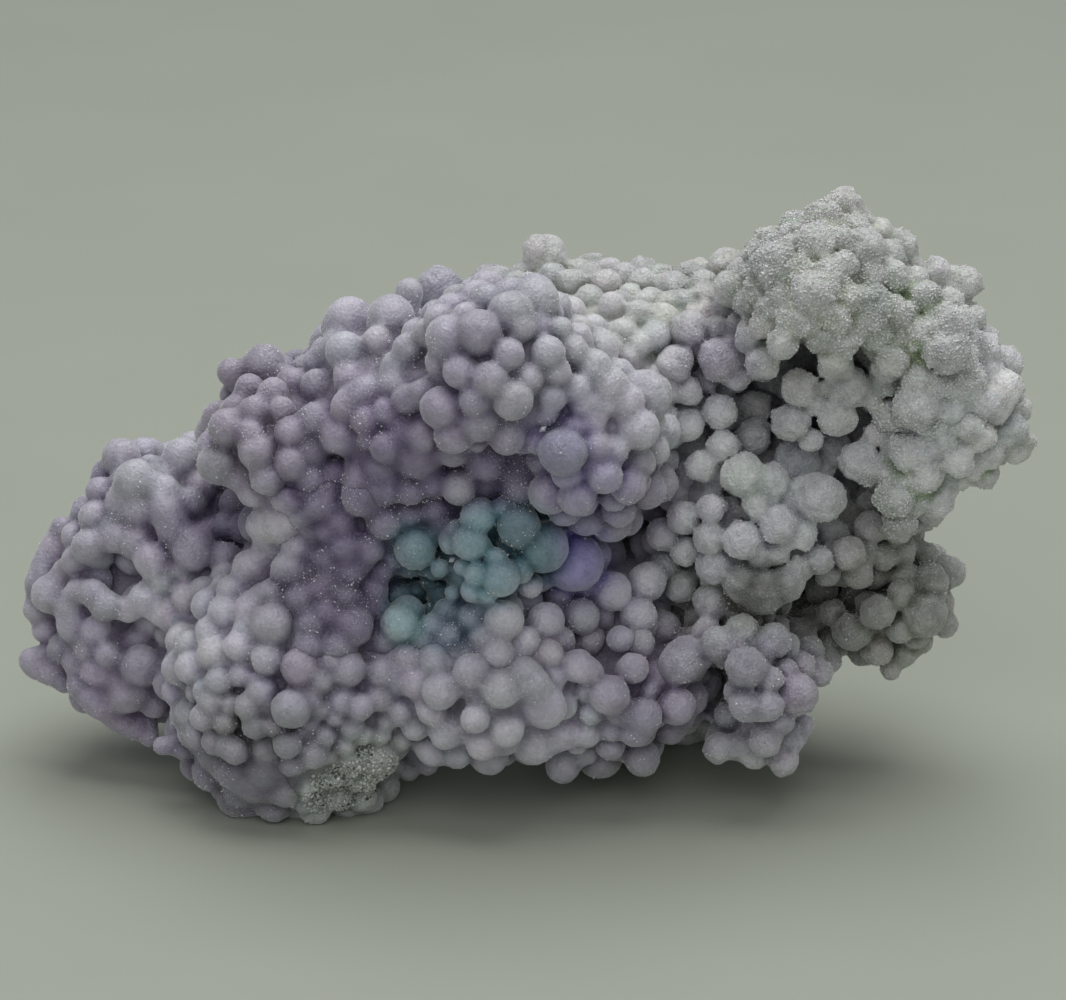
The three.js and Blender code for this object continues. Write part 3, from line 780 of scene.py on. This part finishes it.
PLACES = [
    ("pale mauve", 180, 455, 50), ("lilac grey", 60, 590, 60), ("mauve", 100, 690, 60),
    ("plum", 218, 508, 32), ("pearl", 155, 600, 42), ("mauve", 165, 545, 30), ("pink mauve", 262, 410, 55),
    ("pale mauve", 350, 330, 60), ("mauve", 330, 420, 50), ("plum", 395, 465, 45), ("plum", 330, 510, 45),
    ("plum", 360, 560, 45), ("violet", 310, 600, 40), ("plum", 440, 500, 30), ("violet", 350, 620, 26),
    ("violet", 330, 600, 30), ("plum", 375, 440, 34), ("pearl", 280, 538, 26), ("pale mauve", 275, 625, 26),
    ("pearl", 215, 645, 34), ("lilac grey", 345, 672, 30), ("pale mauve", 460, 310, 55),
    ("mauve", 480, 345, 40), ("pale mauve", 458, 488, 14), ("mauve", 450, 420, 40),
    ("pale mauve", 520, 370, 50), ("pearl", 625, 405, 34), ("plum", 490, 470, 30),
    ("lilac blue", 560, 440, 34), ("lilac blue", 590, 490, 34), ("mauve", 650, 500, 32),
    ("sage white", 620, 285, 90), ("sage white", 545, 255, 30), ("teal", 480, 530, 26),
    ("deep teal", 520, 540, 28), ("deep teal", 545, 560, 20), ("teal", 492, 578, 24),
    ("mid teal", 415, 549, 24), ("pale teal", 407, 614, 20), ("deep teal", 430, 588, 26),
    ("blue violet", 578, 565, 30), ("dusk blue", 452, 622, 24), ("pearl", 525, 622, 34),
    ("lilac grey", 590, 625, 34), ("pearl", 632, 605, 26), ("pale mauve", 215, 700, 34),
    ("dusk plum", 255, 775, 50), ("dusk grey", 240, 730, 26), ("dusk grey", 275, 738, 24),
    ("lilac grey", 290, 730, 34), ("sage grey", 368, 778, 32), ("sage grey", 322, 796, 24),
    ("pearl", 470, 715, 50), ("pale mauve", 485, 700, 50), ("pearl", 550, 720, 40), ("mauve", 660, 700, 50),
    # The grey places in the recess under the crust are painted shade over the stone's own grey.
    ("lilac grey", 780, 690, 60), ("shaded stone grey", 765, 588, 26), ("shaded stone grey", 760, 600, 26),
    # On the beads under the arch the white frost is partly painted light.
    ("lilac grey", 716, 366, 34), ("frost", 700, 430, 45), ("lit white frost", 723, 446, 20),
    ("lit white frost", 745, 476, 26), ("lit white frost", 785, 484, 32), ("frost", 720, 500, 50),
    ("frost", 780, 530, 60), ("frost", 820, 420, 60), ("crust white", 850, 265, 100),
    # On the crust top the white frost is the crust's own white; on the rim that faces down it is partly
    # painted light.
    ("lit white frost", 965, 370, 60), ("lit white frost", 928, 474, 36), ("lit white frost", 945, 455, 30),
    # More painted shade in the recess under the crust, over the stone's own grey.
    ("back grey", 905, 620, 60), ("shaded stone grey", 840, 610, 40), ("shaded stone grey", 800, 600, 34),
]
MOSS = [
    (915, 300, 22), (935, 310, 16), (960, 300, 12), (922, 352, 20), (925, 486, 24), (905, 465, 16),
    (991, 473, 18),
]
MOSS_COLOUR = np.array([0.20, 0.32, 0.08])
place_colours = np.array([COLOURS[name] for name, _, _, _ in PLACES])
place_pixels = np.array([[x, y] for _, x, y, _ in PLACES], float)
place_radii = np.array([radius for _, _, _, radius in PLACES], float)
place_middles = seats_of(place_pixels)
moss_middles = seats_of(MOSS)
moss_reach = np.array(MOSS, float)[:, 2] / PIXELS_PER_MM
# The paler tint of open bead tips: partly frost, partly painted light.
TIP_FROST_AND_LIGHT_COLOUR = np.array([0.70, 0.70, 0.74])
TIP_FROST_AND_LIGHT_SHARE = 0.22
COLOUR_DEPTH = 7.0
GROUND_WEIGHT = 0.03
bead_shift = np.random.default_rng(23).normal(0, 1, (len(bead_radii) + 1, 3))


def picture_points(points):
    """Where points appear in the picture, in pixels, and how far they are from the eye."""
    offset = points - EYE
    depth = offset @ FORWARD
    across = PICTURE_MIDDLE[0] + offset[:, 0] / depth * FOCAL_PIXELS
    down = PICTURE_MIDDLE[1] - offset @ UPWARD / depth * FOCAL_PIXELS
    return np.column_stack([across, down]), depth


def zone_colours(points):
    """The mean of the named colours, each weighted by a bell round its line of sight and a bell in depth,
    over a ground colour that turns from mauve on the left to pale sage on the right."""
    turn = 1 / (1 + np.exp(-(points[:, :1] - 8) / 5))
    patch = np.clip(2.2 * smooth_noise(points + 5.3, 9.0)[:, None], -1, 1)
    left = np.where(patch > 0, COLOURS["plum"], COLOURS["pearl"])
    right = np.where(patch > 0, COLOURS["back grey"], COLOURS["crust white"])
    left = COLOURS["lilac grey"] + 0.7 * np.abs(patch) * (left - COLOURS["lilac grey"])
    right = COLOURS["sage white"] + 0.7 * np.abs(patch) * (right - COLOURS["sage white"])
    ground = (1 - turn) * left + turn * right
    total = GROUND_WEIGHT * ground
    weight = np.full((len(points), 1), GROUND_WEIGHT)
    pixels, depth = picture_points(points)
    _, place_depth = picture_points(place_middles)
    for colour, pixel, far, radius in zip(place_colours, place_pixels, place_depth, place_radii):
        apart = np.linalg.norm(pixels - pixel, axis=1) / radius
        behind = (depth - far) / COLOUR_DEPTH
        bell = np.exp(-1.6 * apart ** 2 - behind ** 2)[:, None] * 30 / radius
        total = total + bell * colour
        weight = weight + bell
    return total / weight


# How much stone surrounds each grid point, near and over a few millimetres: these set the painted crease
# shade, the paler tips and where the moss lies.
inside_share = blurred((field < 0).astype(np.float32), 5)
deep_shade_share = blurred((field[::3, ::3, ::3] < 0).astype(np.float32), 6)


def grid_values(values, points):
    """The grid's values at the grid point nearest to each point."""
    index = np.clip(np.rint((points - low) / STEP).astype(int), 0, np.array(values.shape) - 1)
    return values[index[:, 0], index[:, 1], index[:, 2]]


def mossiness(points):
    """1 in the middle of each green spot, falling as a bell."""
    apart = np.linalg.norm(points[:, None] - moss_middles, axis=2) / moss_reach
    return np.exp(-apart ** 2).max(1)[:, None]


def soft_values(values, points, step=STEP):
    """The grid's values at each point, blended between the eight grid points round it."""
    scaled = np.clip((points - low) / step, 0, np.array(values.shape) - 1.001)
    cell = scaled.astype(int)
    part = scaled - cell
    total = np.zeros(len(points))
    for corner in np.ndindex(2, 2, 2):
        index = cell + corner
        weight = np.prod(np.where(corner, part, 1 - part), axis=1)
        total += weight * values[index[:, 0], index[:, 1], index[:, 2]]
    return total


def skin_colours(points):
    """Zone colours, shifted a little for each bead, paler at the tips from frost and from painted light, and
    darker in the creases and deep pockets as painted shade; the moss is in the creases too."""
    colours = zone_colours(points)
    shift = bead_shift[grid_values(owner, points)]
    colours = colours * (1 + 0.07 * shift[:, :1]) * (1 + 0.016 * shift)
    hidden = np.clip((soft_values(inside_share, points) - 0.38) / 0.30, 0, 1)[:, None]
    deep = np.clip((soft_values(deep_shade_share, points, 3 * STEP) - 0.45) / 0.35, 0, 1)[:, None]
    # Open tips are paled towards this colour: partly frost, partly painted light.
    colours = colours + (1 - hidden) * TIP_FROST_AND_LIGHT_SHARE * (TIP_FROST_AND_LIGHT_COLOUR - colours)
    # Painted shade: creases and deep pockets are darkened by how much stone surrounds them.
    colours = colours * (1 - 0.85 * hidden * (1 - colours)) * (1 - 0.58 * deep * (1 - colours))
    green = mossiness(points) * np.clip((hidden - 0.2) / 0.4, 0, 1)
    return np.clip(colours + 0.8 * green * (MOSS_COLOUR - colours), 0.01, 0.9)


print(len(PLACES), "places of colour")

# %% The pieces of the skin


def add_mesh(name, points, faces, values, material):
    """A closed mesh from points in millimetres, with smooth faces and a value at every point for each
    named attribute."""
    mesh = bpy.data.meshes.new(name)
    sides = faces.shape[1]
    mesh.vertices.add(len(points))
    mesh.vertices.foreach_set("co", ((points - MIDDLE) * MM).astype(np.float32).ravel())
    mesh.loops.add(faces.size)
    mesh.loops.foreach_set("vertex_index", faces.astype(np.int32).ravel())
    mesh.polygons.add(len(faces))
    mesh.polygons.foreach_set("loop_start", np.arange(0, faces.size, sides, dtype=np.int32))
    mesh.polygons.foreach_set("use_smooth", np.ones(len(faces), bool))
    for label, numbers in values.items():
        if numbers.ndim == 2:
            layer = mesh.attributes.new(label, "FLOAT_COLOR", "POINT")
            full = np.column_stack([numbers, np.ones(len(numbers))])
            layer.data.foreach_set("color", full.astype(np.float32).ravel())
        else:
            layer = mesh.attributes.new(label, "FLOAT", "POINT")
            layer.data.foreach_set("value", numbers.astype(np.float32))
    mesh.update(calc_edges=True)
    mesh.validate()
    piece = bpy.data.objects.new(name, mesh)
    piece.data.materials.append(material)
    bpy.context.collection.objects.link(piece)
    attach(piece, "root")
    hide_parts("grape_agate")
    return piece


# %% [markdown]
# ## Chalcedony as a material
# Chalcedony lets light in a little way, so it takes subsurface scattering of about a millimetre. Its skin is
# a druse: crystals of a tenth of a millimetre, too small for the mesh, so they are a bump of small cells,
# and some of them are smoother than others and catch the light. The frosted right side has more of it. Loose
# grains have the same material without the scattering, which would lose most of their light.

# %% The chalcedony


def new_material(name):
    """An empty node material and its principled shader."""
    material = bpy.data.materials.new(name)
    material.use_nodes = True
    return material, material.node_tree.nodes["Principled BSDF"]


def add_node(material, kind, **settings):
    """A node of a kind, with its settings and the values of its sockets."""
    node = material.node_tree.nodes.new(kind)
    for label, value in settings.items():
        if label in node.inputs:
            node.inputs[label].default_value = value
        else:
            setattr(node, label, value)
    return node


def link(material, source, target):
    material.node_tree.links.new(source, target)


def chalcedony(name, depth):
    """Tint from the mesh, grain and druse from the object's own coordinates, and the share of the light that
    goes into the stone before it comes out again."""
    material, shader = new_material(name)
    tint = add_node(material, "ShaderNodeAttribute", attribute_name="tint")
    frost = add_node(material, "ShaderNodeAttribute", attribute_name="frost")
    place = add_node(material, "ShaderNodeTexCoord")
    cloud = add_node(material, "ShaderNodeTexNoise", Scale=420.0, Detail=3.0, Roughness=0.6)
    grain = add_node(material, "ShaderNodeTexNoise", Scale=2600.0, Detail=3.0, Roughness=0.65)
    cells = add_node(material, "ShaderNodeTexVoronoi", Scale=3600.0)
    for texture in (cloud, grain, cells):
        link(material, place.outputs["Object"], texture.inputs["Vector"])
    middle = {"From Min": 0.3, "From Max": 0.7}
    lighten = add_node(material, "ShaderNodeMapRange", **middle, **{"To Min": 0.86, "To Max": 1.14})
    link(material, cloud.outputs["Fac"], lighten.inputs["Value"])
    grainy = add_node(material, "ShaderNodeMapRange", **middle, **{"To Min": 0.90, "To Max": 1.10})
    link(material, grain.outputs["Fac"], grainy.inputs["Value"])
    both = add_node(material, "ShaderNodeMath", operation="MULTIPLY")
    link(material, lighten.outputs["Result"], both.inputs[0])
    link(material, grainy.outputs["Result"], both.inputs[1])
    shade = add_node(material, "ShaderNodeVectorMath", operation="SCALE")
    link(material, tint.outputs["Color"], shade.inputs[0])
    link(material, both.outputs["Value"], shade.inputs["Scale"])
    link(material, shade.outputs["Vector"], shader.inputs["Base Color"])
    rough = add_node(material, "ShaderNodeMapRange", **{"To Min": 0.22, "To Max": 0.62})
    link(material, cells.outputs["Color"], rough.inputs["Value"])
    link(material, rough.outputs["Result"], shader.inputs["Roughness"])
    druse = add_node(material, "ShaderNodeBump", Distance=0.0003)
    amount = add_node(material, "ShaderNodeMapRange", **{"To Min": 0.35, "To Max": 0.9})
    link(material, frost.outputs["Fac"], amount.inputs["Value"])
    link(material, amount.outputs["Result"], druse.inputs["Strength"])
    link(material, cells.outputs["Distance"], druse.inputs["Height"])
    fine = add_node(material, "ShaderNodeBump", Distance=0.00018, Strength=0.6)
    link(material, grain.outputs["Fac"], fine.inputs["Height"])
    link(material, druse.outputs["Normal"], fine.inputs["Normal"])
    link(material, fine.outputs["Normal"], shader.inputs["Normal"])
    shader.inputs["Subsurface Weight"].default_value = depth
    shader.inputs["Subsurface Radius"].default_value = (1.0, 0.85, 1.0)
    shader.inputs["Subsurface Scale"].default_value = 0.0013
    shader.inputs["IOR"].default_value = 1.54
    shader.inputs["Sheen Weight"].default_value = 0.6
    shader.inputs["Sheen Roughness"].default_value = 0.35
    return material


stone = chalcedony("chalcedony", 0.85)
skin_points = []
for number, name in enumerate(REGIONS):
    points, faces = skin_net(piece_distance(number), low, STEP)
    points[:, 2] = np.maximum(points[:, 2], 0.0)
    values = {"tint": skin_colours(points), "frost": crustiness(points)}
    add_mesh(name, points, faces, values, stone)
    outer = grid_values(np.abs(field) < STEP, points) & (points[:, 2] > 0.2)
    skin_points.append(points[outer])
    print(name, 2 * len(faces), "triangles")
skin_points = np.vstack(skin_points)

# %% [markdown]
# ## Crystals and grains
# Here and there a crystal of the druse is large enough to flash in the light. They are double pyramids, a
# tenth of a millimetre wide, half sunk in the skin, with eight faces each, since there are thousands of them.
# They come in patches. The crust is sugary: rough grains lie on it, and finer ones on the frosted beads. The
# grey patch at the lower left is covered with sand, light and dark, that is stuck to the stone. A few larger
# crystals of clear quartz stand where the picture shows them.

# %% Crystals


def double_pyramids(middles, tips, widths, sides):
    """Crystals with a ring of corners round each middle and two tips, at the middle plus and less a vector.
    Returns points and triangles."""
    count = len(middles)
    along = tips / np.linalg.norm(tips, axis=1, keepdims=True)
    helper = np.where(np.abs(along[:, :1]) < 0.8, [[1.0, 0.0, 0.0]], [[0.0, 1.0, 0.0]])
    across = np.cross(along, helper)
    across /= np.linalg.norm(across, axis=1, keepdims=True)
    third = np.cross(along, across)
    angles = np.arange(sides) * 2 * math.pi / sides
    ring = across[:, None] * np.cos(angles)[:, None] + third[:, None] * np.sin(angles)[:, None]
    corners = middles[:, None] + ring * widths[:, None, None]
    points = np.concatenate([corners, (middles + tips)[:, None], (middles - tips)[:, None]], axis=1)
    step = np.arange(sides)
    after = (step + 1) % sides
    upper = np.column_stack([step, after, np.full(sides, sides)])
    lower = np.column_stack([after, step, np.full(sides, sides + 1)])
    faces = np.vstack([upper, lower])[None] + (sides + 2) * np.arange(count)[:, None, None]
    return points.reshape(-1, 3), faces.reshape(-1, 3)


def crystal_material():
    """Clear quartz too small to see through: pale, and smooth enough to flash."""
    material, shader = new_material("druse_crystal")
    tint = add_node(material, "ShaderNodeAttribute", attribute_name="tint")
    place = add_node(material, "ShaderNodeTexCoord")
    veil = add_node(material, "ShaderNodeTexNoise", Scale=900.0, Detail=2.0)
    link(material, place.outputs["Object"], veil.inputs["Vector"])
    blur = add_node(material, "ShaderNodeMapRange", **{"To Min": 0.05, "To Max": 0.25})
    link(material, veil.outputs["Fac"], blur.inputs["Value"])
    link(material, blur.outputs["Result"], shader.inputs["Roughness"])
    link(material, tint.outputs["Color"], shader.inputs["Base Color"])
    shader.inputs["IOR"].default_value = 1.8
    return material


flash = crystal_material()
chance = np.random.default_rng(31)
SPARKLES = 24000


def strewn(ground, likely, count):
    """Places on the skin, picked with a likelihood. Each is moved a little along the skin, so that none of
    the grid's rows shows in them."""
    picked = chance.choice(len(ground), min(count, len(ground)), replace=False, p=likely / likely.sum())
    places = ground[picked] + chance.uniform(-0.6, 0.6, (len(picked), 3)) * STEP
    steps = 0.5 * STEP * np.eye(3)
    grown = [soft_values(field, places + step) - soft_values(field, places - step) for step in steps]
    slope = np.column_stack(grown) / STEP
    steepness = np.maximum((slope ** 2).sum(1), 0.2)
    move = np.clip(soft_values(field, places) / steepness, -STEP, STEP)
    return places - slope * move[:, None]


def add_sparkles(name, ground, likely):
    """Small crystals on points of the skin, picked with a likelihood, in patches, each tilted its own way."""
    likely = likely * np.clip(0.5 + 1.5 * smooth_noise(ground, 1.8), 0.03, 2) ** 2
    chosen = strewn(ground, likely, SPARKLES)
    tips = chance.normal(0, 1, (SPARKLES, 3))
    widths = chance.uniform(0.025, 0.055, SPARKLES) * chance.choice([1, 1, 1, 1, 1, 1, 2], SPARKLES)
    tips *= (widths * chance.uniform(1.1, 1.9, SPARKLES) / np.linalg.norm(tips, axis=1))[:, None]
    points, faces = double_pyramids(chosen, tips, widths, 4)
    points[:, 2] = np.maximum(points[:, 2], 0.0)
    tints = np.repeat(0.2 * skin_colours(chosen) + 0.8 * np.array([0.92, 0.92, 0.95]), 6, axis=0)
    sparkles = add_mesh(name, points, faces, {"tint": tints}, flash)
    sparkles.data.polygons.foreach_set("use_smooth", np.zeros(len(faces), bool))
    print(name, len(faces), "triangles")


right_side = skin_points[:, 0] > 10
left_ground = skin_points[~right_side]
right_ground = skin_points[right_side]
add_sparkles("druse_sparkles_left", left_ground, 0.4 + (1 - looseness(left_ground)))
add_sparkles("druse_sparkles_right", right_ground, np.ones(len(right_ground)))

# %% Sand and sugar


def rough_balls(places, smallest, largest):
    """Rough balls of twenty faces at the places, each with its own size and shape."""
    golden = (1 + math.sqrt(5)) / 2
    ball = np.array([(0, a, b * golden) for a in (-1, 1) for b in (-1, 1)], float)
    ball = np.vstack([ball, ball[:, [2, 0, 1]], ball[:, [1, 2, 0]]]) / math.sqrt(1 + golden ** 2)
    near = np.linalg.norm(ball[:, None] - ball[None], axis=2)
    side = near[near > 0.1].min() * 1.01
    faces = [(a, b, c) for a in range(12) for b in range(a + 1, 12) for c in range(b + 1, 12)
             if max(near[a, b], near[b, c], near[a, c]) < side]
    outward = [np.dot(np.cross(ball[b] - ball[a], ball[c] - ball[a]), ball[a]) > 0 for a, b, c in faces]
    faces = np.array([face if out else face[::-1] for face, out in zip(faces, outward)])
    sizes = chance.uniform(smallest, largest, (len(places), 1, 1))
    sizes = sizes * chance.uniform(0.8, 1.2, (len(places), 12, 1))
    points = places[:, None] + ball[None] * sizes * chance.uniform(0.7, 1.3, (len(places), 1, 3))
    faces = faces[None] + 12 * np.arange(len(places))[:, None, None]
    return points.reshape(-1, 3), faces.reshape(-1, 3)


def add_grains(name, share, count, smallest, largest, colours):
    """Grains on the skin, more where the share is higher, in the colours that a function gives them."""
    places = strewn(skin_points[share > 0.1], share[share > 0.1], count)
    points, faces = rough_balls(places, smallest, largest)
    points[:, 2] = np.maximum(points[:, 2], 0.0)
    tints = np.repeat(colours(places), 12, axis=0)
    add_mesh(name, points, faces, {"tint": tints, "frost": np.ones(len(points))}, grain_stone)
    print(name, len(faces), "triangles")


def sand_colours(places):
    """Five shades of grey stone and quartz, picked at random, the black one seldom."""
    shades = np.array([
        (0.55, 0.59, 0.54), (0.70, 0.71, 0.67), (0.38, 0.41, 0.37), (0.80, 0.80, 0.77), (0.08, 0.09, 0.08),
    ])
    picked = shades[chance.choice(len(shades), len(places), p=[0.38, 0.28, 0.14, 0.14, 0.06])]
    return np.minimum(picked * chance.uniform(1.0, 1.25, (len(places), 1)), 0.9)


def crust_colours(places):
    """The colour of the crust below, made about a third paler as painted light against the grains' own
    shadowing and the painted crease shade in the skin colour, each grain with its own tone.
    """
    # Painted light: paler than the crust, to offset the grains' shadowing.
    return np.clip(1.35 * skin_colours(places) * chance.uniform(0.9, 1.07, (len(places), 1)), 0, 0.9)


grain_stone = chalcedony("chalcedony_grains", 0.0)
add_grains("sand_grains", sandiness(skin_points) ** 2, 4500, 0.07, 0.19, sand_colours)
add_grains("crust_grains", crag_share(skin_points), 9000, 0.06, 0.15, crust_colours)
add_grains("frost_grains", crustiness(skin_points) ** 2, 9500, 0.05, 0.11, crust_colours)

# %% Larger crystals
CLEAR = [
    (172, 520, 12, 4, 70), (178, 538, 8, 3, 60), (313, 533, 6, 4, 20), (513, 284, 6, 4, 100),
    (543, 429, 5, 3.5, 40), (546, 414, 5, 4, 120), (540, 420, 4, 3, 10), (497, 562, 4, 3, 80),
    (452, 560, 4, 3, 30), (222, 668, 4, 3, 30), (420, 598, 3, 2.5, 60),
]
clear = np.array(CLEAR, float)
clear_middles = seat_on(crown_distance, clear[:, :2], np.ones(len(clear)), clear[:, 2] / PIXELS_PER_MM)
turn = np.radians(clear[:, 4:5])
clear_tips = np.cos(turn) * np.array([1.0, 0, 0]) + np.sin(turn) * UPWARD - 0.3 * FORWARD
clear_tips = clear_tips * clear[:, 2:3] / PIXELS_PER_MM
points, faces = double_pyramids(clear_middles, clear_tips, clear[:, 3] / PIXELS_PER_MM, 6)
tints = np.tile([0.70, 0.70, 0.76], (len(points), 1))
crystals = add_mesh("clear_crystals", points, faces, {"tint": tints}, flash)
crystals.data.polygons.foreach_set("use_smooth", np.zeros(len(faces), bool))
print(len(clear), "larger crystals")

# %% [markdown]
# ## Floor and light
# A plain pale floor, and the soft light of an overcast room: one wide lamp above and a little behind, so that
# the tops are bright and the front falls off, and a weak fill from the front.

# %% Floor


def add_floor():
    """A flat square, far wider than the view, in a pale grey with a trace of unevenness."""
    reach = 3.0
    mesh = bpy.data.meshes.new("floor")
    corners = [(-reach, -reach, 0), (reach, -reach, 0), (reach, reach, 0), (-reach, reach, 0)]
    mesh.from_pydata(corners, [], [(0, 1, 2, 3)])
    floor = bpy.data.objects.new("floor", mesh)
    bpy.context.collection.objects.link(floor)
    material, shader = new_material("pale_floor")
    place = add_node(material, "ShaderNodeTexCoord")
    mottle = add_node(material, "ShaderNodeTexNoise", Scale=30.0, Detail=4.0)
    ramp = add_node(material, "ShaderNodeMix", data_type="RGBA")
    for index, colour in ((6, (0.38, 0.405, 0.34, 1)), (7, (0.41, 0.44, 0.37, 1))):
        ramp.inputs[index].default_value = colour
    link(material, place.outputs["Object"], mottle.inputs["Vector"])
    link(material, mottle.outputs["Fac"], ramp.inputs["Factor"])
    link(material, ramp.outputs[2], shader.inputs["Base Color"])
    shader.inputs["Roughness"].default_value = 0.6
    mesh.materials.append(material)


add_floor()

# %% Light


def add_lamp(name, place, aim, size, power):
    """A square area lamp at a place, turned to an aim, both in metres."""
    data = bpy.data.lights.new(name, "AREA")
    data.size = size
    data.energy = power
    lamp = bpy.data.objects.new(name, data)
    lamp.location = place
    lamp.rotation_euler = (Vector(aim) - Vector(place)).to_track_quat("-Z", "Y").to_euler()
    bpy.context.collection.objects.link(lamp)


add_lamp("sky_panel", (0.05, 0.15, 0.75), (0, 0, 0.02), 0.7, 4.6)
add_lamp("front_fill", (-0.1, -0.7, 0.6), (0, 0, 0.03), 0.8, 2.5)
world = bpy.data.worlds.new("studio")
world.use_nodes = True
world.node_tree.nodes["Background"].inputs["Color"].default_value = (0.9, 0.95, 1.0, 1)
world.node_tree.nodes["Background"].inputs["Strength"].default_value = 0.16
bpy.context.scene.world = world
bpy.context.scene.view_settings.view_transform = "Standard"
print("lamps set")
